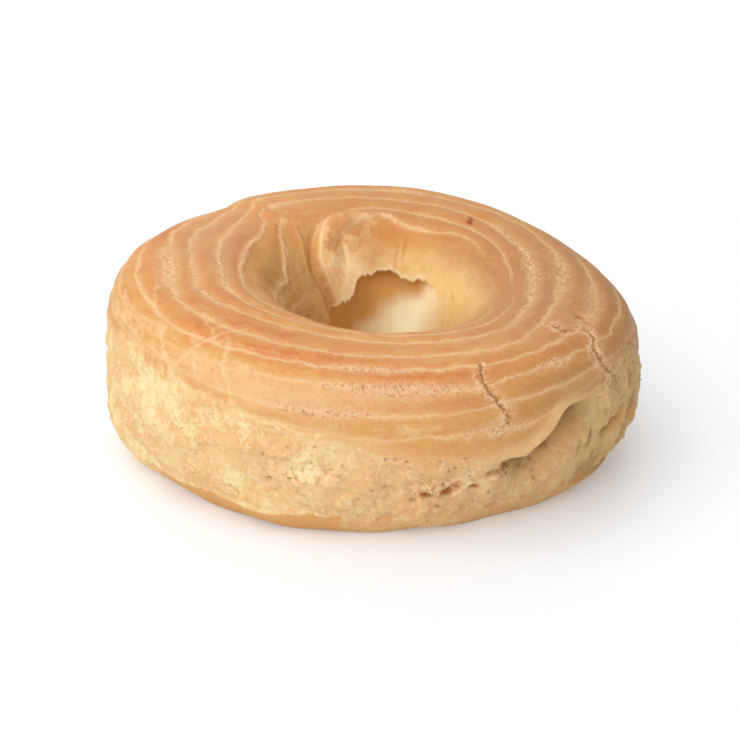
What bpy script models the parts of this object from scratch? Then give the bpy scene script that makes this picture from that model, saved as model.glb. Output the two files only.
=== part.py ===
"""Choux pastry ring: dough piped with a star nozzle, baked until the wall of its hole tore.

It is one solid that stands on its flat foot, in metres, with +Z up. The origin is under the
middle of the whole ring, which is a little off the axis of its hole. A ring angle goes round
that axis, in degrees from +X and anticlockwise seen from above. A section angle goes round
the cut dough at one ring angle: 0 faces out, 90 is the crown, 180 faces the hole and 270 is
under the foot.
"""

import bpy
import numpy as np

MM = 0.001

# Driving dimensions
OUTER_RADIUS = 47.5 * MM  # at the widest part of the wall
HOLE_RADIUS = 13.9 * MM  # at the narrowest part of the hole
HEIGHT = 33.7 * MM  # foot to crown, on average
WIDEST_HEIGHT = 15.4 * MM  # where the wall bulges most
FOOT_CUT = 2.3 * MM  # how far the rounded section would reach below its flat foot
AXIS_X = 0.31 * MM  # the axis of the hole, from the middle of the whole ring
AXIS_Y = -1.47 * MM

# Unevenness of the bake: (waves in one turn, size, ring angle of a peak)
OUTER_WAVES = ((2, 0.9 * MM, 150), (3, 1.5 * MM, 84), (4, 0.5 * MM, 80))
HOLE_WAVES = ((1, 0.9 * MM, 290),)
HEIGHT_WAVES = ((1, 2.35 * MM, 155),)

# How square the rounded section is: 2 is an ellipse, and more is squarer
SHOULDER_SQUARENESS = 3.6
UNDERSIDE_SQUARENESS = 2.45
HOLE_SQUARENESS = 2.25

# Lower edge of the browned crust on the outside: (ring angle, section angle) along it
CRUST_EDGE = (
    (5, 17), (30, 22), (128, 22), (165, 24), (209, 32), (237, 26), (261, 17), (273, 8),
    (286, 2), (301, 0), (310, 14), (317, 23), (330, 24), (343, 14),
)

# Grooves between the piped ridges, from above the crust's edge over the crown to the hole
GROOVES = (
    ((50, 27), (128, 29), (205, 36), (240, 29), (262, 23), (300, 20), (322, 28), (345, 24)),
    ((40, 34), (80, 36), (128, 37), (200, 41), (255, 34), (340, 34)),
    ((10, 44), (80, 46), (128, 46), (190, 49), (270, 48), (294, 44.5), (318, 47)),
    ((36, 54), (80, 57), (178, 59), (225, 57), (288, 59), (318, 57), (356, 60)),
    ((34, 65), (80, 70), (156, 69), (182, 74.5), (225, 70), (293, 71), (335, 80), (350, 81)),
    ((10, 93), (55, 81), (128, 80), (187, 87), (203, 84), (245, 90), (310, 90), (345, 99)),
    ((45, 99), (128, 96), (190, 101), (222, 97), (262, 103), (310, 103), (350, 110)),
    ((45, 110), (128, 108), (180, 112), (222, 107), (262, 116), (310, 116), (350, 123)),
    ((40, 129), (95, 135), (128, 128), (190, 134), (225, 129), (290, 129), (350, 136)),
)
GROOVE_DEPTH = 0.45 * MM
GROOVE_HALF_WIDTH = 0.2  # as a share of one ridge
GROOVE_UNEVENNESS = 0.2
RIDGE_SWELL = 0.25 * MM
EDGE_FADE = 24  # section angle above the crust's edge over which the ridges rise to full height
HOLE_FADE = (135, 162)  # section angles between which they die away in the hole
SMOOTH_WALL = (70, 62, 112, 126)  # ring angle, half width, section angles of the ridgeless wall

# Where the end of the piping lies over its start
SEAM_ANGLE = 128.0
SEAM_WIDTH = 4.0
SEAM_FADE = 45.0
SEAM_STEP = 0.8 * MM
SEAM_CREASE = 0.4 * MM
SEAM_TOP = (20, 60, 80, 120)  # section angles of the seam's full depth and its fading ends

# The rounded end of the piping, a lobe that leans into the hole: (section angle, ring angle)
# down its rim
LOBE_RIM = ((90, 92), (98, 104), (106, 111), (114, 118), (122, 124), (130, 127.5), (146, 126.5))
LOBE_BULGE = 1.9 * MM
LOBE_EDGE = (-6, 7)  # ring angles from the rim over which it rises
LOBE_BACK = (24, 52)  # and over which it sinks into the ring again
LOBE_FADE = (92, 110, 158, 186)  # section angles of its fading ends

# The torn lip in the wall of the hole, (ring angle, section angle), and the hollow behind it
TORN_LIP = (
    (18, 147), (40, 146), (46, 143), (53, 143), (60, 146), (66, 147), (74, 144), (83, 144),
    (90, 147), (97, 149), (104, 154), (112, 160), (126, 158),
)
WHOLE_LIP_ANGLE = 151.5  # section angle of the same line where the wall is whole
LIP_STARTS = (4, 26)  # ring angles over which the line leaves and rejoins the whole wall
LIP_ENDS = (125, 133)
TEAR_LEFT = (117, 125)
TEAR_RIGHT = (18, 108)  # from here the hollow deepens
TEAR_DEPTH = 8.0 * MM
TEAR_ROOF = 2.6 * MM
LOW_WALL_ANGLE = 236.0
HOLLOW_BACK = (0, 0.24, 0.4, 1)  # shares of the way down where the back deepens and returns
HOLLOW_ROOF = (0, 0.1, 0.12, 0.45)  # and where its roof rises and falls

# The hollow under the edge of the crust that is lifted like a flap, right of the front
FLAP_ANGLE = 314.0
FLAP_HALF_WIDTH = 25.0
FLAP_RECESS = 4.4 * MM
FLAP_UNDER = (0, 4.5, 14, 48)  # section angles below the edge where it deepens and returns

# The thin browned rim along the foot
RIM_HEIGHT = 5.2 * MM
RIM_STEP = 0.45 * MM
RIM_LEDGE = 0.8  # share of its height where the rim's top starts to turn in

# Lumps: (share, waves round the ring, waves round the section, phase)
LUMP_SIZE = 0.24 * MM
WALL_LUMPS = ((0.5, 9, -7, 40), (-0.5, 9, 7, 80), (0.7, 16, 5, -90))
OVERALL_LUMPS = ((0.5, 4, 2, -10),)
LUMPY_WALL = (10, 40)  # section angles between which the wall's lumps fade
LUMPS_LEFT = 0.25  # share of them that is left past there

# Mesh sizes
RING_SEGMENTS = 98
ROWS_PER_RIDGE = 3
FOOT_ROWS = 3  # on either side of the foot's middle
WALL_ROWS = 11
HOLE_ROWS = 11
FOOT_MIDDLE = (-88, 268)  # the same place, reached from the outside and from the hole
OUTER_FOOT_ANGLE = -57.0
INNER_FOOT_ANGLE = 239.5
UNDERCUT_ANGLE = 3.5  # between the crust's edge and the first row under it
CLOSE_SEGMENTS = ((128, 14, 2.2), (85, 70, 0.9), (314, 30, 0.8))  # ring angle, width, closeness
SPACING_STEPS = 1441

CRUST_COLOUR = (0.64, 0.31, 0.115, 1.0)
CRUST_ROUGHNESS = 0.55


def cos(degrees):
    return np.cos(np.radians(degrees))


def sin(degrees):
    return np.sin(np.radians(degrees))


def step(value, start, end):
    """0 before start and 1 after end, with an eased rise between them."""
    share = np.clip((value - start) / (end - start), 0, 1)
    return share * share * (3 - 2 * share)


def plateau(value, rise_start, rise_end, fall_start, fall_end):
    """0 outside the four values, 1 between the middle two, and eased between."""
    return step(value, rise_start, rise_end) * (1 - step(value, fall_start, fall_end))


def turn_from(angle, centre):
    """The signed angle from centre, between -180 and 180."""
    return (angle - centre + 180) % 360 - 180


def bump(angle, centre, half_width):
    """1 at the centre, easing to 0 half_width either side of it."""
    return 1 - step(np.abs(turn_from(angle, centre)), 0, half_width)


def waves(ring, table):
    """The sum of a table of waves round the ring."""
    return sum(size * cos(turns * (ring - peak)) for turns, size, peak in table)


def line_round(ring, points):
    """The section angle of a line that goes round the whole ring through a few points."""
    places, angles = zip(*points)
    return np.interp(ring, places, angles, period=360)


def outer_radius(ring):
    return OUTER_RADIUS + waves(ring, OUTER_WAVES)


def hole_radius(ring):
    return HOLE_RADIUS + waves(ring, HOLE_WAVES)


def crown_height(ring):
    return HEIGHT + waves(ring, HEIGHT_WAVES)


def crust_edge(ring):
    return line_round(ring, CRUST_EDGE)


def lip_angle(ring):
    """The section angle of the lowest line in the hole, which is the lip where the wall tore."""
    places, angles = zip(*TORN_LIP)
    torn = step(ring, *LIP_STARTS) * (1 - step(ring, *LIP_ENDS))
    return WHOLE_LIP_ANGLE + torn * (np.interp(ring, places, angles) - WHOLE_LIP_ANGLE)


def tear(ring):
    """1 along the torn part of the hole's wall, and 0 elsewhere."""
    right = np.clip((ring - TEAR_RIGHT[0]) / (TEAR_RIGHT[1] - TEAR_RIGHT[0]), 0, 1)
    return (1 - step(ring, *TEAR_LEFT)) * right


def past_seam(ring):
    """How far round from the seam, going by the left and the front, as an angle under 360."""
    return (ring - SEAM_ANGLE) % 360


def start_of_piping(ring):
    """1 just past the seam, where the dough starts thin, easing to 0 further round."""
    fresh = 1 - step(past_seam(ring), 0, SEAM_FADE)
    return fresh * step(past_seam(ring), 0, SEAM_WIDTH)


def crust_rows(ring):
    """Section angles and ridge numbers of the rows from the crust's edge to the lip."""
    lines = [crust_edge(ring)] + [line_round(ring, groove) for groove in GROOVES]
    lines = np.stack(lines + [lip_angle(ring)], axis=1)
    ridges = lines.shape[1] - 1
    numbers = np.linspace(0, ridges, ridges * ROWS_PER_RIDGE + 1)
    angles = [np.interp(numbers, np.arange(ridges + 1), across) for across in lines]
    return np.array(angles), numbers


def section_angles(ring):
    """The section angle and ridge number of every row, at each ring angle."""
    foot = np.full_like(ring, FOOT_MIDDLE[0])
    outer_foot = np.full_like(ring, OUTER_FOOT_ANGLE)
    inner_foot = np.full_like(ring, INNER_FOOT_ANGLE)
    foot_again = np.full_like(ring, FOOT_MIDDLE[1])
    crust, numbers = crust_rows(ring)
    no_ridge = 0.5
    rows = (
        np.linspace(foot, outer_foot, FOOT_ROWS, endpoint=False, axis=1),
        np.linspace(outer_foot, crust[:, 0] - UNDERCUT_ANGLE, WALL_ROWS, axis=1),
        crust,
        np.linspace(crust[:, -1], inner_foot, HOLE_ROWS + 1, axis=1)[:, 1:],
        np.linspace(inner_foot, foot_again, FOOT_ROWS, axis=1)[:, 1:],
    )
    plain = [np.full(part.shape[1], no_ridge) for part in rows]
    plain[2] = numbers
    return np.concatenate(rows, axis=1), np.concatenate(plain)


def plain_section(ring, section):
    """Radius from the axis and height of the smooth, rounded section."""
    middle = (outer_radius(ring) + hole_radius(ring)) / 2
    across = cos(section)
    up = sin(section)
    half_width = (outer_radius(ring) - hole_radius(ring)) / 2
    half_height = np.where(up > 0, crown_height(ring) - WIDEST_HEIGHT, WIDEST_HEIGHT + FOOT_CUT)
    outer = np.where(up > 0, SHOULDER_SQUARENESS, UNDERSIDE_SQUARENESS)
    power = np.where(across > 0, outer, HOLE_SQUARENESS)
    reach = np.abs(across / half_width) ** power + np.abs(up / half_height) ** power
    reach = reach ** (-1 / power)
    return middle + reach * across, WIDEST_HEIGHT + reach * up


def ridges(ring, section, number):
    """The piped ridges, fading at the crust's edge, into the hole and where the wall tore."""
    off_groove = np.abs(number - np.round(number))
    groove = np.exp(-((off_groove / GROOVE_HALF_WIDTH) ** 2))
    swell = 1 - (2 * off_groove - 1) ** 2
    fade = step(section - crust_edge(ring), 0, EDGE_FADE) * (1 - step(section, *HOLE_FADE))
    centre, half_width, smooth_from, smooth_to = SMOOTH_WALL
    smooth = bump(ring, centre, half_width) * step(section, smooth_from, smooth_to)
    uneven = 1 - GROOVE_UNEVENNESS * (1 - sin(5 * ring + 90 * number))
    return (RIDGE_SWELL * swell - GROOVE_DEPTH * groove * uneven) * fade * (1 - smooth)


def seam(ring, section):
    """The crease where the piping ends, and the thinner dough of its start beside it."""
    crease = SEAM_CREASE * bump(ring, SEAM_ANGLE, SEAM_WIDTH)
    sunk = SEAM_STEP * start_of_piping(ring)
    return -(crease + sunk) * plateau(section, *SEAM_TOP)


def lobe(ring, section):
    """The rounded end of the piping, which leans into the hole."""
    sections, rims = zip(*LOBE_RIM)
    inside = turn_from(np.interp(section, sections, rims), ring)
    spread = plateau(inside, *LOBE_EDGE, *LOBE_BACK)
    return LOBE_BULGE * spread * plateau(section, *LOBE_FADE)


def flap(ring, section):
    """The hollow under the lifted edge of the crust."""
    under = plateau(crust_edge(ring) - section, *FLAP_UNDER)
    return -FLAP_RECESS * under * bump(ring, FLAP_ANGLE, FLAP_HALF_WIDTH)


def lumps(ring, section):
    """Low lumps of the pale wall and gentle unevenness everywhere."""

    def rolling(table):
        return sum(
            share * cos(round_waves * ring + section_waves * section + phase)
            for share, round_waves, section_waves, phase in table
        )

    wall = 1 - (1 - LUMPS_LEFT) * step(section, *LUMPY_WALL)
    return LUMP_SIZE * (rolling(WALL_LUMPS) * wall + rolling(OVERALL_LUMPS))


def torn_hollow(ring, section):
    """How far the hollow behind the lip goes into the dough, and how far its roof rises."""
    lip = lip_angle(ring)
    down = (section - lip) / (LOW_WALL_ANGLE - lip)
    back = TEAR_DEPTH * tear(ring) * plateau(down, *HOLLOW_BACK)
    roof = TEAR_ROOF * tear(ring) * plateau(down, *HOLLOW_ROOF)
    return back, roof


def ring_points(ring):
    """Every point of the surface: one line of points round the section for each ring angle."""
    section, number = section_angles(ring)
    ring = ring[:, None]
    radius, height = plain_section(ring, section)
    relief = ridges(ring, section, number) + seam(ring, section) + lobe(ring, section)
    relief = relief + flap(ring, section) + lumps(ring, section)
    radius = radius + relief * cos(section)
    height = height + relief * sin(section)
    is_rim = 1 - step(height, RIM_LEDGE * RIM_HEIGHT, RIM_HEIGHT)
    radius = radius + RIM_STEP * is_rim * (section < 90)
    inward, upward = torn_hollow(ring, section)
    radius = radius + inward
    height = np.maximum(height + upward, 0)
    across = AXIS_X + radius * cos(ring)
    along = AXIS_Y + radius * sin(ring)
    return np.stack([across, along, height], axis=-1)


def ring_angles():
    """Ring angles all the way round, closer together at the seam, the tear and the flap."""
    even = np.linspace(0, 360, SPACING_STEPS)
    closeness = 1 + sum(more * bump(even, at, width) for at, width, more in CLOSE_SEGMENTS)
    counted = np.concatenate([[0], np.cumsum((closeness[1:] + closeness[:-1]) / 2)])
    shares = np.arange(RING_SEGMENTS) / RING_SEGMENTS * counted[-1]
    return np.interp(shares, counted, even)


def baked_dough():
    material = bpy.data.materials.new("baked_choux")
    material.use_nodes = True
    shader = material.node_tree.nodes["Principled BSDF"]
    shader.inputs["Base Color"].default_value = CRUST_COLOUR
    shader.inputs["Roughness"].default_value = CRUST_ROUGHNESS
    shader.inputs["Metallic"].default_value = 0.0
    return material


def build_ring(collection):
    """A torus whose points are moved onto the piped, baked and torn surface."""
    points = ring_points(ring_angles())
    segments, rows = points.shape[:2]
    bpy.ops.mesh.primitive_torus_add(
        major_segments=segments,
        minor_segments=rows,
        major_radius=(OUTER_RADIUS + HOLE_RADIUS) / 2,
        minor_radius=(OUTER_RADIUS - HOLE_RADIUS) / 2,
    )
    ring = bpy.context.object
    ring.name = "choux_ring"
    ring.data.name = "choux_ring"
    ring.data.vertices.foreach_set("co", points.astype(np.float32).ravel())
    ring.data.materials.append(baked_dough())
    ring.data.shade_smooth()
    ring.data.update()
    for owner in list(ring.users_collection):
        owner.objects.unlink(ring)
    collection.objects.link(ring)


def main():
    for old in list(bpy.data.objects):
        bpy.data.objects.remove(old, do_unlink=True)
    collection = bpy.data.collections.new("choux_pastry_ring")
    bpy.context.scene.collection.children.link(collection)
    build_ring(collection)


main()
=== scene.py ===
import math
import bpy
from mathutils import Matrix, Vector


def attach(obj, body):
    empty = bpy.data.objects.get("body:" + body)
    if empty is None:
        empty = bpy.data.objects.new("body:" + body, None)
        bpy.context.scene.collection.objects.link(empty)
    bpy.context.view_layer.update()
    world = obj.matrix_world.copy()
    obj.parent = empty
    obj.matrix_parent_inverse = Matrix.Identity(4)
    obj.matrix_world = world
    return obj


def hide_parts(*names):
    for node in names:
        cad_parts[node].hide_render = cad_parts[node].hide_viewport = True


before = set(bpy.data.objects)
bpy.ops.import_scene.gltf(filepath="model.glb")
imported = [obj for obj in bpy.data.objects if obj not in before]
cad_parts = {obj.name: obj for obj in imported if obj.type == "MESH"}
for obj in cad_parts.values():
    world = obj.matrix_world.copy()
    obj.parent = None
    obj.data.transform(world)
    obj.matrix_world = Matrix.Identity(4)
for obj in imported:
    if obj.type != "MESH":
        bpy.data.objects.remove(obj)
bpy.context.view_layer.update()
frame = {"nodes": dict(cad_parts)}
print("frame loaded:", ", ".join(frame["nodes"]))


class Num:
    # a number or a field in a node tree: maths on it adds the nodes
    def __init__(self, board, socket):
        self.board = board
        self.socket = socket

    def __add__(self, other):
        return self.board.maths("ADD", self, other)

    __radd__ = __add__

    def __sub__(self, other):
        return self.board.maths("SUBTRACT", self, other)

    def __rsub__(self, other):
        return self.board.maths("SUBTRACT", other, self)

    def __mul__(self, other):
        return self.board.maths("MULTIPLY", self, other)

    __rmul__ = __mul__

    def __truediv__(self, other):
        return self.board.maths("DIVIDE", self, other)

    def __rtruediv__(self, other):
        return self.board.maths("DIVIDE", other, self)

    def __pow__(self, other):
        return self.board.maths("POWER", self, other)

    def __neg__(self):
        return self.board.maths("MULTIPLY", self, -1)


class Board:
    # builds one node tree, for geometry or for a shader
    def __init__(self, tree):
        self.tree = tree

    def put(self, socket, value):
        if isinstance(value, Num):
            value = value.socket
        if isinstance(value, bpy.types.NodeSocket):
            self.tree.links.new(value, socket)
        else:
            socket.default_value = value

    def node(self, kind, settings=None, sockets=None):
        made = self.tree.nodes.new(kind)
        for name, value in (settings or {}).items():
            if name == "points":
                self.fillCurve(made, value)
            else:
                setattr(made, name, value)
        for name, value in (sockets or {}).items():
            self.put(made.inputs[name], value)
        return made

    def fillCurve(self, made, points):
        line = made.mapping.curves[0]
        while len(line.points) < len(points):
            line.points.new(0.5, 0.5)
        for point, place in zip(line.points, points):
            point.location = place
            point.handle_type = "AUTO_CLAMPED"
        made.mapping.update()

    def maths(self, operation, *values):
        made = self.node("ShaderNodeMath", {"operation": operation}, dict(enumerate(values)))
        return Num(self, made.outputs[0])

    def sin(self, degrees):
        return self.maths("SINE", degrees * math.radians(1))

    def cos(self, degrees):
        return self.maths("COSINE", degrees * math.radians(1))

    def size(self, value):
        return self.maths("ABSOLUTE", value)

    def least(self, a, b):
        return self.maths("MINIMUM", a, b)

    def most(self, a, b):
        return self.maths("MAXIMUM", a, b)

    def bell(self, value, width):
        # 1 where value is 0, and almost nothing two widths away
        share = value / width
        return self.maths("EXPONENT", -(share * share))

    def mapped(self, value, start, end, how):
        made = self.node(
            "ShaderNodeMapRange",
            {"interpolation_type": how},
            {"Value": value, "From Min": start, "From Max": end},
        )
        return Num(self, made.outputs["Result"])

    def ramp(self, value, start, end):
        return self.mapped(value, start, end, "LINEAR")

    def step(self, value, start, end):
        return self.mapped(value, start, end, "SMOOTHSTEP")

    def fall(self, value, start, end):
        # 1 up to start, 0 from end
        return 1 - self.step(value, start, end)

    def between(self, value, low, risen, falling, high):
        # 0 up to low, 1 from risen to falling, 0 again from high
        return self.step(value, low, risen) * self.fall(value, falling, high)

    def turnFrom(self, angle, centre):
        return self.maths("WRAP", angle - centre, 180, -180)

    def bump(self, angle, centre, halfWidth):
        return self.fall(self.size(self.turnFrom(angle, centre)), 0, halfWidth)

    def along(self, value, points):
        # a smooth curve through a few (value, result) points
        xs = [x for x, y in points]
        ys = [y for x, y in points]
        low, high = min(ys), max(ys)
        scaled = [
            ((x - xs[0]) / (xs[-1] - xs[0]), (y - low) / (high - low)) for x, y in points
        ]
        share = (value - xs[0]) / (xs[-1] - xs[0])
        made = self.node("ShaderNodeFloatCurve", {"points": scaled}, {"Value": share})
        return Num(self, made.outputs[0]) * (high - low) + low

    def vector(self, x, y, z):
        return self.node("ShaderNodeCombineXYZ", {}, {"X": x, "Y": y, "Z": z}).outputs[0]

    def vectors(self, operation, *values):
        made = self.node("ShaderNodeVectorMath", {"operation": operation}, dict(enumerate(values)))
        return made.outputs[0]

    def changed(self, kind, geometry, sockets=None, settings=None):
        # the geometry after one more node of the chain
        made = self.node(kind, settings, {"Geometry": geometry, **(sockets or {})})
        return made.outputs["Geometry"]

    def noise(self, place, grain, detail=2.0, roughness=0.5, offset=0.0):
        # about -1 to 1, with lumps of the size of grain
        away = offset * grain
        moved = self.vectors("ADD", place, (away, 7.3 * away, 3.1 * away))
        made = self.node(
            "ShaderNodeTexNoise",
            {},
            {"Vector": moved, "Scale": 1 / grain, "Detail": detail, "Roughness": roughness},
        )
        return Num(self, made.outputs[0]) * 2 - 1

    def cells(self, place, grain):
        # how far each place is from the middle of its cell, in cells
        made = self.node("ShaderNodeTexVoronoi", {}, {"Vector": place, "Scale": 1 / grain})
        return Num(self, made.outputs["Distance"])


mm = 0.001  # in metres

# The ring's form in millimetres and degrees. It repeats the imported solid's own form, so that
# the finer surface lies on it. Ring angles go anticlockwise from +X about the hole's axis, and
# section angles go 0 out, 90 crown, 180 hole, 270 foot.
ring = {
    "outerRadius": 47.5,
    "holeRadius": 13.9,
    "height": 33.7,
    "widestHeight": 15.4,
    "footCut": 2.3,
    "axisX": 0.31,
    "axisY": -1.47,
    "outerWaves": ((2, 0.9, 150), (3, 1.5, 84), (4, 0.5, 80)),  # turns, size, peak
    "holeWaves": ((1, 0.9, 290),),
    "heightWaves": ((1, 2.35, 155),),
    "columns": 520,
    "rows": {"footOut": 5, "wall": 50, "undercut": 3, "crust": 96, "hole": 34, "footIn": 4},
    "crowded": ((122, 0.5), (298, 0.55), (310, 0.6), (327, 0.5)),  # ring angles with closer columns
    "footMiddle": -92.0,
    "footOutAngle": -57.0,
    "footInAngle": 239.5,
    "undercutAngle": 2.0,
    "holeSpacing": 1.15,
    "fullness": {"crust": 3.6, "wall": 2.45, "hole": 2.25},  # powers of the rounded section
    "mmPerSection": 0.31,  # mm of skin for each degree of the section
    "mmPerTurn": 0.72,  # and of the ring angle, on the crust
    "mmInside": 0.42,  # and in the hole
    "grooveDepth": 0.04,
    "lineWidth": 0.085,
    "lineUneven": 0.03,
    "poreDepth": 0.3,
    "poreGrain": 1.3,
    "ridgeSwell": 0.2,
    "innerLineRise": 0.5,
    "seamAngle": 128.0,
    "seamWander": 5.0,
    "seamDip": 0.25,
    "freshDip": 0.8,
    "lobeBulge": 1.7,
    "lobeCrease": 0.7,
    "smoothLip": 151.57,
    "tearDepth": 8.0,
    "tearRoof": 2.6,
    "lowWallAngle": 236.0,
    "shoulderDrop": 0.8,
    "bowlDepth": 0.9,
    "padDepth": 0.3,
    "strandRise": 0.2,
    "innerFold": 0.4,
    "flapRecess": 4.6,
    "flapRoll": 0.6,
    "notchDepth": 1.8,
    "lumpHeight": 0.24,
    "swayHeight": 0.12,
    "rimHeight": 5.2,
    "rimStep": 0.45,
}

# The lines between the piped ridges, from the crust's lower edge (6) over the crown (0) to the
# lip in the hole (-4): (ring angle, section angle), once round from the seam at 128 to 488
grooveLines = {
    6: ((128, 22), (165, 24), (192, 30), (209, 32), (223, 30), (237, 26), (249, 21), (261, 17),
        (273, 8), (286, 2), (301, -1), (305, 2.5), (309, 10), (311, 17), (313, 21.5), (317, 24),
        (325, 24), (332, 29), (341, 27), (352, 17), (365, 17), (400, 22), (488, 22)),
    5: ((128, 27), (190, 34), (212, 36), (225, 33), (240, 29), (262, 23), (275, 20.5), (287, 21),
        (300, 20), (312, 25.5), (320, 29), (332, 32), (341, 30.5), (352, 24), (400, 26),
        (440, 27), (488, 40)),
    4: ((128, 33), (190, 40), (212, 40.5), (225, 38.5), (250, 35), (262, 34), (290, 33),
        (304, 34), (330, 35), (345, 34), (400, 34), (440, 36), (488, 47)),
    3: ((128, 40), (160, 47), (190, 49), (225, 48), (250, 49), (270, 48), (280, 47), (294, 44.5),
        (302, 46), (318, 47), (340, 45.5), (350, 46), (370, 44), (400, 44), (440, 46), (488, 54)),
    2: ((128, 47), (150, 54), (165, 57), (178, 59), (194, 59), (225, 57), (250, 59), (288, 59),
        (302, 57), (325, 58), (338, 58), (350, 60), (362, 60), (375, 57), (395, 54), (440, 57),
        (488, 61)),
    1: ((128, 54), (140, 61), (156, 67), (166, 69.5), (176, 74), (188, 74.5), (202, 71),
        (225, 70), (262, 71), (293, 71), (300, 70), (316, 72), (330, 79), (340, 81), (350, 81),
        (357, 79), (370, 73), (388, 67), (396, 65), (410, 66), (440, 70), (470, 71), (488, 71)),
    0: ((128, 61), (140, 73), (151, 78), (162, 80), (182, 86), (192, 87), (203, 84), (218, 86),
        (245, 90), (275, 91), (300, 90), (310, 89), (322, 93), (330, 96), (340, 98), (350, 99),
        (360, 97), (370, 93), (385, 87), (398, 84), (415, 81), (430, 82), (455, 84), (488, 82)),
    -1: ((128, 71), (134, 79), (140, 86), (151, 92), (165, 96), (180, 100), (190, 101.5),
         (204, 98), (222, 97), (240, 100), (262, 103), (310, 103), (330, 107), (350, 110),
         (370, 106), (405, 96), (418, 97), (430, 98), (446, 98), (458, 102), (470, 110),
         (480, 118), (488, 125)),
    -2: ((128, 82), (134, 92), (141, 102), (152, 108), (168, 110), (180, 112), (204, 109),
         (222, 107), (240, 112), (262, 116), (310, 116), (350, 123), (375, 117), (398, 106),
         (409, 105.5), (417, 109.5), (427, 112.5), (436, 112), (442, 109), (448, 112),
         (455, 115), (462, 120), (471, 126), (481, 132), (488, 136)),
    -3: ((128, 99), (136, 108), (142, 117), (150, 126), (156, 132), (163, 137), (190, 134),
         (225, 129), (290, 129), (350, 136), (400, 129), (430, 130), (455, 137), (470, 143),
         (488, 147)),
}
# where those lines are wide and porous: line, ring angle, half its length, width
porousLines = (
    (1, 187, 26, 0.16), (0, 200, 30, 0.06), (-1, 190, 35, 0.08), (1, 3, 32, 0.13),
    (0, 0, 55, 0.17), (3, 275, 24, 0.17), (2, 268, 24, 0.12), (4, 256, 20, 0.15),
    (5, 296, 11, 0.14), (3, 315, 9, 0.12), (2, 345, 16, 0.10), (1, 88, 25, 0.1),
    (-2, 85, 45, 0.01), (2, 337, 5, 0.2),
)

# The torn lip, and where the shade under it ends: (ring angle, section angle) along each
lipLine = ((18, 147), (36, 146), (39, 144.5), (43, 142.5), (49, 142), (57, 143), (62, 146),
           (69, 145.5), (76, 142.8), (84, 143.5), (90, 146), (98, 147.5), (102, 149.5),
           (106, 154.5), (110, 158), (126, 160.5))
darkLine = ((30, 146), (45, 149), (58, 153), (74, 160), (85, 168), (97, 180), (104, 194),
            (110, 210), (118, 232), (126, 245))

# The side of the hollow under the flap, the lobe's rim and the strand beside it:
# (section angle, ring angle) along each
valleySide = ((-45, 327), (-20, 323), (0, 319.5), (12, 318), (25, 317.5))
lobeRim = ((90, 90), (100, 98), (107, 106), (114, 114.5), (120, 120), (126, 124), (132, 127),
           (138, 128), (146, 125.5), (153, 122.5), (170, 120))
strandLine = ((105, 127), (113, 128), (130, 134), (138, 136), (147, 137), (156, 133))

# Cracks across the ridges: depth in mm, and (section angle, ring angle) along each
cracks = {
    "crackRight": (0.35, ((21, 299.5), (27, 299.3), (33, 298.2), (38, 297), (43, 295.8),
                          (48, 295.5), (54, 296.3), (61, 298))),
    "crackFarRight": (0.4, ((24, 330), (28, 328.5), (32, 327.5), (38, 326.5), (44, 327),
                            (48, 329.5), (54, 330.5), (58, 329), (62, 327), (66, 326),
                            (70, 327), (75, 328))),
    "crackLeft": (0.15, ((40, 222), (55, 226), (65, 229), (75, 233))),
}

# How far the lower wall is drawn in, in mm, at each ring angle
drawnIn = ((0, 0.3), (150, 0.2), (185, 0.5), (200, 1.0), (214, 2.0), (228, 1.7), (240, 0.8),
           (252, 0.6), (265, 1.2), (278, 2.0), (290, 2.6), (304, 3.2), (315, 2.9), (325, 2.1),
           (340, 1.6), (350, 0.8), (360, 0.3))

# Holes in the pale wall: ring angle, section angle, width, height, depth in mm, redness
pits = (
    (282, -21, 1.1, 0.75, 1.0, 0.9), (286.5, -19.5, 1.2, 1.0, 1.2, 1.0),
    (293, -18.5, 1.0, 0.7, 0.9, 0.7), (285, -29, 0.6, 0.4, 0.6, 0.3),
    (291, -33, 0.8, 0.35, 0.5, 0.1), (300.5, -6.5, 2.0, 1.9, 0.9, 0.4),
    (297.5, -8.5, 2.2, 0.9, 0.8, 0.2), (321.3, -4, 0.5, 2.6, 1.1, 0),
    (318.8, -7, 0.4, 2.0, 0.9, 0), (324.5, -19, 0.6, 1.8, 0.8, 0.1),
    (270, -14, 0.5, 0.4, 0.5, 0.1), (273, -13, 0.8, 0.4, 0.6, 0.1),
    (277, -12, 0.6, 0.3, 0.5, 0.1), (279, -25, 0.9, 0.5, 0.6, 0.1),
    (289, -17, 0.8, 0.5, 0.7, 0.1), (246, 5, 0.3, 0.7, 0.6, 0.45),
    (246.5, -14, 0.6, 0.5, 0.6, 0.5), (252, -10, 0.5, 0.35, 0.5, 0.3),
    (257, 3, 0.4, 0.5, 0.5, 0.4), (261, -1, 0.5, 0.4, 0.5, 0.3),
    (262, 12, 0.4, 0.3, 0.4, 0.2), (205, 7, 0.55, 2.6, 0.6, 0),
    (201.5, -1, 0.4, 2.0, 0.5, 0), (210.5, -4, 0.4, 2.2, 0.5, 0),
    (206.5, -13, 0.5, 1.6, 0.5, 0), (323.5, 20, 0.5, 0.4, 0.5, 0.3),
    (326, 27, 0.6, 0.4, 0.5, 0.3), (108, 133, 1.2, 2.2, 0.3, 0),
    (337, 64, 0.8, 1.1, 0.8, 0.7), (326.5, 62, 0.8, 0.4, 0.6, 0.4),
    (344, 67, 0.5, 0.5, 0.5, 0.4), (4, 76, 0.7, 0.5, 0.5, 0.4), (8, 74, 0.6, 0.4, 0.5, 0.4),
)

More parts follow.
